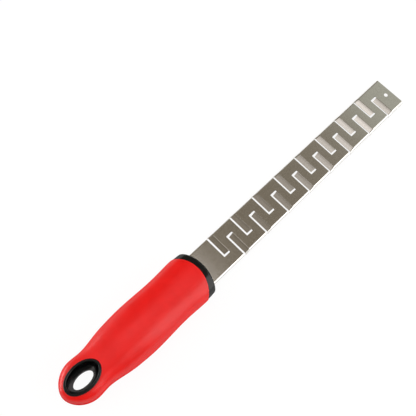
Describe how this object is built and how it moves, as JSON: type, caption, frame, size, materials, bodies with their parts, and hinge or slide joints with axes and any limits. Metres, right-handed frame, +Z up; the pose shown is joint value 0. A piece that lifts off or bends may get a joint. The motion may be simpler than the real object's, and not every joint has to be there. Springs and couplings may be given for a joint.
{
  "type": "grater",
  "caption": "Long flat hand grater: folded steel blade with two staggered rows of L-shaped slots, oval soft-grip handle with a hanging eye.",
  "frame": {"origin": "on the resting surface, under the middle of the whole object's box", "axes": "+X from the handle to the blade's tip, +Y to the left seen from the handle, +Z up from the surface that the grater lies on; the blade slopes 2.3 degrees down to its tip, as it rests"},
  "size_m": [0.325, 0.0364, 0.0305],
  "materials": {
    "steel": "satin",
    "black_plastic": "gloss",
    "soft_grip": "satin"
  },
  "bodies": {
    "root": {"blade": "steel", "handle_core": "black_plastic", "grip_sleeve": "soft_grip"}
  },
  "joints": []
}
